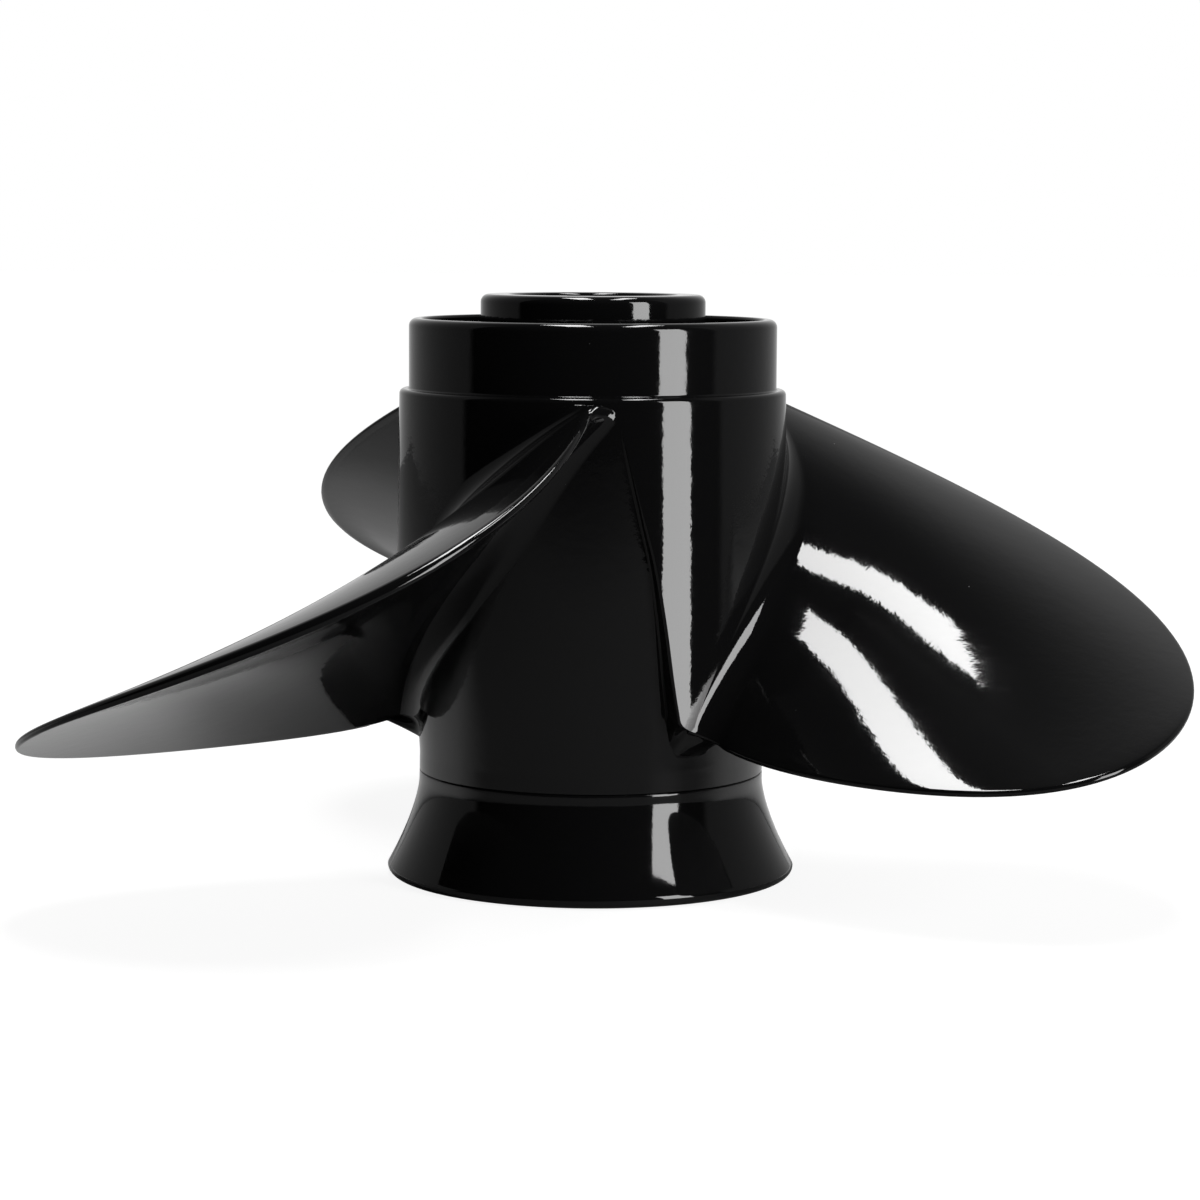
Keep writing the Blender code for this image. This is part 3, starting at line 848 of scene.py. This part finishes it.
def rib_object():
    """The three ribs with their fillets, biting into the hub and the barrel."""
    levels = [(RIB_AFT_Z + RIB_END_ROUND * rise, RIB_END_ROUND * fall) for fall, rise in quarter(4)]
    levels += [(RIB_FRONT_Z - RIB_END_ROUND * fall, RIB_END_ROUND * rise) for fall, rise in quarter(4)]
    vertices = []
    for rib in range(3):
        turn = RIB_ANGLE + rib * SECTOR
        for height, thinner in levels:
            half = RIB_THICKNESS / 2 - thinner
            outer = float(passage_radius(height))
            outline = [(HUB_RADIUS - RIB_BITE, half + RIB_FILLET)]
            for fall, rise in quarter(8):
                outline.append((HUB_RADIUS + RIB_FILLET * rise, half + RIB_FILLET * fall))
            for fall, rise in quarter(8):
                outline.append((outer - RIB_FILLET * fall, half + RIB_FILLET * rise))
            outline.append((outer + RIB_BITE, half + RIB_FILLET))
            outline += [(distance, -offset) for distance, offset in reversed(outline)]
            for distance, offset in outline:
                vertices.append((distance * cos(turn) - offset * sin(turn),
                                 distance * sin(turn) + offset * cos(turn), height))
    count = len(levels)
    rings = number_rings(3 * count, len(outline))
    faces = []
    for rib in range(3):
        faces += ring_faces(rings[rib * count:(rib + 1) * count], False)
    return plain_object("rib_work", vertices, faces)


def join_solids(target, steps):
    """Applies exact Boolean steps to the target and removes the cutters."""
    for cutter, operation in steps:
        step = target.modifiers.new(operation.lower(), "BOOLEAN")
        step.operation = operation
        step.solver = "EXACT"
        step.object = cutter
    graph = bpy.context.evaluated_depsgraph_get()
    mesh = bpy.data.meshes.new_from_object(target.evaluated_get(graph))
    for made in [target] + [cutter for cutter, _ in steps]:
        bpy.data.objects.remove(made, do_unlink=True)
    return mesh


def inner_body(angles):
    """The passage wall with the ribs and the inner tube, open where it meets the outer shell."""
    low = COUNTERBORE_Z
    high = PILOT_Z - RIM_ROUND
    wall = 3.0
    profile = [(float(passage_radius(z)), z) for z in (low, HUB_AFT_Z, 51.0, 73.0, 95.0, high)]
    profile += [(profile[-1][0] + wall, high), (PASSAGE_AFT_RADIUS + wall, low)]
    tube = turned_object("tube_work", angles, profile, closed=True)
    even = even_angles(HUB_STEPS)
    size = HUB_ROUND
    hub = [(HUB_RADIUS - size, HUB_AFT_Z)]
    hub += plain_arc(HUB_RADIUS - size, HUB_AFT_Z + size, size, size, -90, 0, 8)[1:]
    hub += plain_arc(HUB_RADIUS - size, HUB_FRONT_Z - size, size, size, 0, 90, 10)
    hub_solid = turned_object("hub_work", even, hub)
    size = BORE_ROUND
    bore = [(LAND_RADIUS, HUB_AFT_Z - 1), (LAND_RADIUS, LAND_Z), (BORE_RADIUS, LAND_Z)]
    bore += plain_arc(BORE_RADIUS + size, HUB_FRONT_Z - size, size, size, 180, 90, 8)
    bore.append((BORE_RADIUS + size, HUB_FRONT_Z + 1))
    bore_solid = turned_object("bore_work", even, bore)
    mesh = join_solids(tube, [(hub_solid, "UNION"), (rib_object(), "UNION"), (bore_solid, "DIFFERENCE")])
    work = bmesh.new()
    work.from_mesh(mesh)
    bpy.data.meshes.remove(mesh)
    spare = []
    for face in work.faces:
        x, y, z = face.calc_center_median()
        past = (x * x + y * y) ** 0.5 - float(passage_radius(z))
        at_end = z < low + 0.01 or z > high - 0.01
        if past > 0.4 or (past > 0.01 and at_end):
            spare.append(face)
    bmesh.ops.delete(work, geom=spare, context="FACES")
    return work


def casting_normal(x, y, z):
    """Known normals of the turned surfaces inside the casting, or none."""
    near = 0.01
    radius = max((x * x + y * y) ** 0.5, 1e-6)
    hub_r = HUB_RADIUS - HUB_ROUND
    hub_z = HUB_FRONT_Z - HUB_ROUND
    mouth_r = BORE_RADIUS + BORE_ROUND
    mouth_z = HUB_FRONT_Z - BORE_ROUND
    if abs(radius - HUB_RADIUS) < near and HUB_AFT_Z + HUB_ROUND - near < z < hub_z + near:
        lean = (1.0, 0.0)
    elif z > hub_z and radius > hub_r - near:
        lean = (radius - hub_r, z - hub_z)
    elif z > mouth_z and BORE_RADIUS - near < radius < mouth_r + near:
        lean = (radius - mouth_r, z - mouth_z)
    elif abs(radius - BORE_RADIUS) < near or abs(radius - LAND_RADIUS) < near:
        lean = (-1.0, 0.0)
    elif abs(radius - float(passage_radius(z))) < near:
        lean = (-1.0, 0.035)
    else:
        return None
    size = max((lean[0] ** 2 + lean[1] ** 2) ** 0.5, 1e-6)
    out = lean[0] / (size * radius)
    return (x * out, y * out, lean[1] / size)


def vertex_normals(work, shell):
    """The patches' own normals, weighed and summed, or the inner body's known ones."""
    known = dict(zip(shell.points, shell.normals))
    normals = []
    for vertex in work.verts:
        entries = known.get(place_key(vertex.co))
        if entries is None:
            normals.append(casting_normal(*vertex.co))
            continue
        total = np.zeros(3)
        base = np.array(vertex.normal)
        for weight, normal in entries:
            normal = np.array(normal)
            sign = 1.0 if normal @ base >= 0 else -1.0
            total += weight * sign * normal
        size = np.linalg.norm(total)
        normals.append(tuple(total / size) if size > 1e-6 else None)
    return normals


def make_casting():
    shell, front_angles = outer_shell()
    inner = inner_body(front_angles)
    work = bmesh.new()
    vertices = [work.verts.new(point) for point in shell.points]
    for corners in shell.faces:
        work.faces.new([vertices[i] for i in corners])
    copies = [work.verts.new(vertex.co) for vertex in inner.verts]
    for face in inner.faces:
        work.faces.new([copies[v.index] for v in face.verts])
    inner.free()
    bmesh.ops.remove_doubles(work, verts=work.verts, dist=0.0005)
    loose = [v for v in work.verts if not v.link_faces]
    bmesh.ops.delete(work, geom=loose, context="VERTS")
    bmesh.ops.recalc_face_normals(work, faces=work.faces)
    work.normal_update()
    normals = vertex_normals(work, shell)
    bmesh.ops.scale(work, vec=(MM, MM, MM), verts=work.verts)
    mesh = bpy.data.meshes.new("casting")
    work.to_mesh(mesh)
    work.free()
    mesh.shade_smooth()
    mesh.set_sharp_from_angle(angle=radians(32))
    loops = []
    for polygon in mesh.polygons:
        for index in polygon.vertices:
            normal = normals[index]
            if normal is None or sum(a * b for a, b in zip(normal, polygon.normal)) < 0.6:
                normal = (0.0, 0.0, 0.0)
            loops.append(normal)
    mesh.normals_split_custom_set(loops)
    return add_object("casting_body", mesh)


# Turned pieces: diffuser ring, bushing and sleeve

def turned_piece(name, points, steps, sharp_angle=32):
    faces = ring_faces(number_rings(len(points) // steps, steps), True)
    made = plain_object(name, [(x * MM, y * MM, z * MM) for x, y, z in points], faces)
    made.data.shade_smooth()
    made.data.set_sharp_from_angle(angle=radians(sharp_angle))
    return made


def make_ring():
    """The flared ring with its tongue, its rounded lip and its thin wall."""
    front = SEAM_Z - SEAM_GAP
    outside = COUNTERBORE_RADIUS - FIT_GAP
    inside = outside - TONGUE_WALL
    top = COUNTERBORE_Z - FIT_GAP
    edge = 0.25
    profile = plain_arc(inside + edge, top - edge, edge, edge, 180, 90, 4)
    profile += plain_arc(outside - edge, top - edge, edge, edge, 90, 0, 4)
    profile.append((outside, front))
    rim = front - edge
    profile += plain_arc(float(flare_radius(rim)) - edge, rim, edge, edge, 90, 0, 5)
    for i in range(1, FLARE_STEPS + 1):
        height = rim + (CREST_Z - rim) * i / FLARE_STEPS
        profile.append((float(flare_radius(height)), height))
    rounding = LIP_WIDTH - LIP_FLAT
    profile += plain_arc(CREST_RADIUS - rounding, CREST_Z, rounding, CREST_Z, 0, -90, 16)[1:]
    lip_inside = CREST_RADIUS - LIP_WIDTH
    profile += plain_arc(lip_inside + 0.6, 0.6, 0.6, 0.6, -90, -180, 5)
    for i in range(2, RING_WALL_STEPS + 1):
        share = i / RING_WALL_STEPS
        height = front * share
        wall = RING_WALL + (LIP_WIDTH - RING_WALL) * (1 - share) ** 2
        profile.append((max(float(flare_radius(max(height, CREST_Z))) - wall, inside), height))
    return turned_piece("ring_body", turned_points(even_angles(RING_STEPS), profile), RING_STEPS)


def make_bushing():
    outside = BORE_RADIUS - FIT_GAP
    inside = SLEEVE_RADIUS + FIT_GAP
    low = LAND_Z + FIT_GAP
    size = BUSHING_CHAMFER
    edge = 0.4
    profile = plain_arc(outside - size, low + size, size, size, -90, 0, 6)
    profile += plain_arc(outside - size, BUSHING_FRONT_Z - size, size, size, 0, 90, 6)
    profile += plain_arc(inside + edge, BUSHING_FRONT_Z - edge, edge, edge, 90, 180, 3)
    profile += plain_arc(inside + edge, low + edge, edge, edge, 180, 270, 3)
    points = turned_points(even_angles(BUSHING_STEPS), profile)
    return turned_piece("bushing_body", points, BUSHING_STEPS)


def make_sleeve():
    """The brass sleeve with its splined bore and a countersunk mouth at each end."""
    half = SPLINE_STEPS // 2 - 1
    grooves = ([0.5] + [1.0] * half + [0.5] + [0.0] * half) * SPLINE_TEETH
    wave = [mix(SPLINE_TIP_RADIUS, SPLINE_ROOT_RADIUS, groove) for groove in grooves]
    mouth = SPLINE_ROOT_RADIUS + 0.5
    countersink = 1.2
    low = SLEEVE_AFT_Z
    high = SLEEVE_FRONT_Z
    size = SLEEVE_CHAMFER
    rows = [
        (SLEEVE_RADIUS - size, low), (SLEEVE_RADIUS, low + size),
        (SLEEVE_RADIUS, high - size), (SLEEVE_RADIUS - size, high),
        (mouth, high), (None, high - countersink), (None, low + countersink), (mouth, low),
    ]
    points = []
    for radius, height in rows:
        for angle, splined in zip(even_angles(len(wave)), wave):
            distance = splined if radius is None else radius
            points.append((distance * cos(angle), distance * sin(angle), height))
    return turned_piece("sleeve_body", points, len(wave), 28)


casting = make_casting()
ring = make_ring()
bushing = make_bushing()
sleeve = make_sleeve()
PIECES = (
    (casting, "propeller_casting", "casting_paint"),
    (ring, "diffuser_ring", "ring_paint"),
    (bushing, "rubber_bushing", "bushing_rubber"),
    (sleeve, "splined_sleeve", "sleeve_brass"),
)
for piece, node, slot in PIECES:
    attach(piece, "root")
    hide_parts(node)


# Materials

DUST_CELLS = 190.0
DUST_THRESHOLD = 0.86


def set_inputs(tree, node, values):
    """Sets each value on the input of that name, or links it if it is another node's output."""
    for name, value in values.items():
        if isinstance(value, bpy.types.NodeSocket):
            tree.links.new(value, node.inputs[name])
        else:
            node.inputs[name].default_value = value


def new_node(tree, kind, values, output=0, **settings):
    """Adds a node with its settings and inputs. Gives one of its outputs, or all for None."""
    node = tree.nodes.new("ShaderNode" + kind)
    for name, value in settings.items():
        setattr(node, name, value)
    set_inputs(tree, node, values)
    return node.outputs if output is None else node.outputs[output]


def maths(tree, operation, first, second=None):
    values = {0: first} if second is None else {0: first, 1: second}
    return new_node(tree, "Math", values, operation=operation)


def ramp_node(tree, value, low, high, first, last):
    values = {"Value": value, "From Min": low, "From Max": high, "To Min": first, "To Max": last}
    return new_node(tree, "MapRange", values, "Result", interpolation_type="SMOOTHSTEP")


def object_place(tree):
    return new_node(tree, "TexCoord", {}, "Object")


def noise_node(tree, scale, detail, rough=0.5):
    values = {"Vector": object_place(tree), "Scale": scale, "Detail": detail, "Roughness": rough}
    return new_node(tree, "TexNoise", values, "Fac")


def bump_node(tree, height, distance, below=None):
    values = {"Distance": distance, "Height": height}
    if below is not None:
        values["Normal"] = below
    return new_node(tree, "Bump", values, "Normal")


def blend_colours(tree, share, first, second):
    values = {"Factor": share, 6: first + (1.0,), 7: second + (1.0,)}
    return new_node(tree, "Mix", values, 2, data_type="RGBA")


def new_surface(name):
    made = bpy.data.materials.new(name)
    made.use_nodes = True
    return made, made.node_tree, made.node_tree.nodes["Principled BSDF"]


def dust_specks(tree):
    """One at the few grains of dust that stick in the paint, zero elsewhere."""
    cells = new_node(tree, "TexVoronoi", {"Vector": object_place(tree), "Scale": DUST_CELLS}, None)
    split = new_node(tree, "SeparateColor", {"Color": cells["Color"]}, None)
    size = ramp_node(tree, split["Green"], 0.0, 1.0, 0.012, 0.03)
    near = maths(tree, "LESS_THAN", cells["Distance"], size)
    chosen = maths(tree, "GREATER_THAN", split["Red"], DUST_THRESHOLD)
    return maths(tree, "MULTIPLY", near, chosen)


def paint(name, waviness):
    """Glossy black paint over a cast surface: faint waves, fine peel and grains of dust."""
    made, tree, shader = new_surface(name)
    dust = dust_specks(tree)
    rough = ramp_node(tree, noise_node(tree, 45.0, 4.0), 0.3, 0.7, 0.035, 0.06)
    streak = ramp_node(tree, noise_node(tree, 350.0, 6.0, 0.7), 0.45, 0.75, 0.0, 0.015)
    rough = maths(tree, "ADD", rough, streak)
    waves = bump_node(tree, noise_node(tree, 60.0, 2.0), 0.00003 * waviness)
    peel = bump_node(tree, noise_node(tree, 330.0, 3.0, 0.6), 0.00002 * waviness, waves)
    set_inputs(tree, shader, {
        "Base Color": blend_colours(tree, dust, (0.0045, 0.0045, 0.0047), (0.1, 0.1, 0.1)),
        "Roughness": maths(tree, "ADD", rough, maths(tree, "MULTIPLY", dust, 0.4)),
        "Normal": bump_node(tree, dust, 0.00004, peel),
    })
    return made


def rubber(name):
    """Black moulded rubber with a dry bloom."""
    made, tree, shader = new_surface(name)
    bloom = ramp_node(tree, noise_node(tree, 70.0, 6.0, 0.65), 0.4, 0.75, 0.0, 1.0)
    set_inputs(tree, shader, {
        "Base Color": blend_colours(tree, bloom, (0.014, 0.014, 0.014), (0.035, 0.034, 0.032)),
        "Roughness": ramp_node(tree, noise_node(tree, 160.0, 4.0), 0.3, 0.7, 0.55, 0.75),
        "Normal": bump_node(tree, noise_node(tree, 900.0, 5.0, 0.7), 0.00006),
    })
    return made


def brass(name):
    """Turned brass: fine rings from the lathe, slightly tarnished."""
    made, tree, shader = new_surface(name)
    tarnish = ramp_node(tree, noise_node(tree, 120.0, 5.0, 0.6), 0.42, 0.72, 0.0, 1.0)
    values = {"Vector": object_place(tree), "Scale": 520.0, "Distortion": 1.5, "Detail": 2.0}
    rings = new_node(tree, "TexWave", values, "Fac", bands_direction="Z")
    set_inputs(tree, shader, {
        "Base Color": blend_colours(tree, tarnish, (0.72, 0.5, 0.22), (0.42, 0.27, 0.11)),
        "Metallic": 1.0,
        "Roughness": ramp_node(tree, noise_node(tree, 260.0, 4.0), 0.3, 0.7, 0.22, 0.38),
        "Normal": bump_node(tree, rings, 0.000015),
    })
    return made


casting.data.materials.append(paint("casting_black", 1.0))
ring.data.materials.append(paint("ring_black", 0.6))
bushing.data.materials.append(rubber("bushing_black"))
sleeve.data.materials.append(brass("sleeve_brass"))


# Floor, light and camera

WHITE = (1.0, 1.0, 1.0, 1.0)


def flat_material(name, colour, glow):
    made, tree, shader = new_surface(name)
    set_inputs(tree, shader, {
        "Base Color": (colour, colour, colour, 1.0), "Roughness": 0.95, "Specular IOR Level": 0.0,
        "Emission Color": WHITE, "Emission Strength": glow,
    })
    return made, tree, shader


def sheet(name, outline, height, surface):
    mesh = bpy.data.meshes.new(name)
    mesh.from_pydata([(x, y, height) for x, y in outline], [], [tuple(range(len(outline)))])
    mesh.materials.append(surface)
    made = add_object(name, mesh)
    made.visible_shadow = False
    return made


# The floor that is seen is paler than the one that the paint reflects, which has painted shade near the
# hub and a painted falloff of light far in front
SEEN_CORNERS = [(-8.0, -8.0), (8.0, -8.0), (8.0, 8.0), (-8.0, 8.0)]
BOUNCE_CORNERS = [(-1.2, -0.5), (0.14, -0.5), (0.22, -0.2), (1.2, -0.02), (1.2, 1.2), (-1.2, 1.2)]

white, tree, shader = flat_material("floor_white", 0.25, 0.97)
distance = new_node(tree, "VectorMath", {0: object_place(tree)}, "Value", operation="LENGTH")
set_inputs(tree, shader, {"Emission Strength": ramp_node(tree, distance, 0.1, 0.4, 0.9, 1.0)})
seen_floor = sheet("floor", SEEN_CORNERS, -0.0001, white)
seen_floor.visible_glossy = False
seen_floor.visible_diffuse = False

grey, tree, shader = flat_material("floor_painted_shade", 0.2, 0.0)
from_front = new_node(tree, "SeparateXYZ", {"Vector": object_place(tree)}, "Y")
# Painted shade: the reflected floor's colour is darker just in front of the hub and fades further out in
# front, standing in for the propeller's shadow and the lamps' falloff
painted_shade_near_hub = ramp_node(tree, from_front, -0.08, 0.02, 0.2, 0.8)
painted_falloff_in_front = ramp_node(tree, from_front, -0.5, -0.26, 0.25, 1.0)
set_inputs(tree, shader, {"Base Color": maths(tree, "MULTIPLY", painted_shade_near_hub, painted_falloff_in_front)})
bounce_floor = sheet("floor_bounce", BOUNCE_CORNERS, -0.0002, grey)
bounce_floor.visible_camera = False

OVERHEADS = (("overhead_left", -0.0587, 0.0866, 7.1), ("overhead_right", 0.1349, 0.0597, -2.6))
OVERHEAD_Y = 0.0036
OVERHEAD_Z = 0.6
OVERHEAD_LENGTH = 0.276
OVERHEAD_RADIANCE = 17.0
SIDE_AZIMUTH = radians(-40.5)
SIDE_Z = 0.27
SIDE_WIDTH = 0.31
SIDE_HEIGHT = 0.94
SIDE_RADIANCE = 9.0


def softbox(name, centre, rotation, width, height, radiance):
    """A rectangular lamp, seen in reflections but not by the camera."""
    data = bpy.data.lights.new(name, "AREA")
    data.shape = "RECTANGLE"
    data.size = width
    data.size_y = height
    data.energy = radiance * width * height * pi
    made = add_object(name, data)
    made.location = centre
    made.rotation_euler = rotation
    made.visible_camera = False


for name, x, width, turn in OVERHEADS:
    place = (x, OVERHEAD_Y, OVERHEAD_Z)
    softbox(name, place, (0.0, 0.0, radians(turn)), width, OVERHEAD_LENGTH, OVERHEAD_RADIANCE)
side = Vector((cos(SIDE_AZIMUTH), sin(SIDE_AZIMUTH), 0.0))
side_turn = side.to_track_quat("Z", "Y").to_euler()
softbox("side_strip", (side.x, side.y, SIDE_Z), side_turn, SIDE_WIDTH, SIDE_HEIGHT, SIDE_RADIANCE)


def make_world():
    """White behind the propeller. Reflections see a pale backdrop at +Y in a dim room."""
    world = bpy.data.worlds.new("studio")
    bpy.context.scene.world = world
    world.use_nodes = True
    tree = world.node_tree
    tree.nodes.clear()
    place = new_node(tree, "TexCoord", {}, "Generated")
    _, y, z = new_node(tree, "SeparateXYZ", {"Vector": place}, None)
    flat = maths(tree, "SQRT", maths(tree, "SUBTRACT", 1.0, maths(tree, "MULTIPLY", z, z)))
    cosine = maths(tree, "DIVIDE", y, maths(tree, "MAXIMUM", flat, 0.001))
    cosine = maths(tree, "MINIMUM", maths(tree, "MAXIMUM", cosine, -1.0), 1.0)
    away = maths(tree, "ARCCOSINE", cosine)
    glow = maths(tree, "EXPONENT", maths(tree, "DIVIDE", away, -0.44))
    glow = maths(tree, "ADD", maths(tree, "MULTIPLY", glow, 0.75), 0.11)
    sides = ramp_node(tree, away, radians(96), radians(102), 1.0, 0.0)
    above = ramp_node(tree, z, sin(radians(38)), sin(radians(68)), 1.0, 0.08)
    backdrop = maths(tree, "MULTIPLY", maths(tree, "MULTIPLY", glow, sides), above)
    room = maths(tree, "ADD", backdrop, 0.006)
    direct = new_node(tree, "LightPath", {}, "Is Camera Ray")
    strength = new_node(tree, "Mix", {"Factor": direct, "A": room, "B": 1.0}, "Result")
    values = {"Color": WHITE, "Strength": strength}
    background = new_node(tree, "Background", values, "Background")
    set_inputs(tree, tree.nodes.new("ShaderNodeOutputWorld"), {"Surface": background})


CAMERA_PLACE = (0.0, -0.7259, 0.1393)
CAMERA_PITCH = radians(90 - 6.35)
CAMERA_ROLL = radians(0.30)
LENS = 102.6


def make_camera():
    data = bpy.data.cameras.new("camera")
    data.lens = LENS
    data.sensor_width = 36.0
    data.shift_x = 0.007
    made = add_object("camera", data)
    pitch = Matrix.Rotation(CAMERA_PITCH, 4, "X")
    roll = Matrix.Rotation(CAMERA_ROLL, 4, "Z")
    made.matrix_world = Matrix.Translation(CAMERA_PLACE) @ pitch @ roll
    bpy.context.scene.camera = made


make_world()
make_camera()
bpy.context.scene.view_settings.view_transform = "Standard"
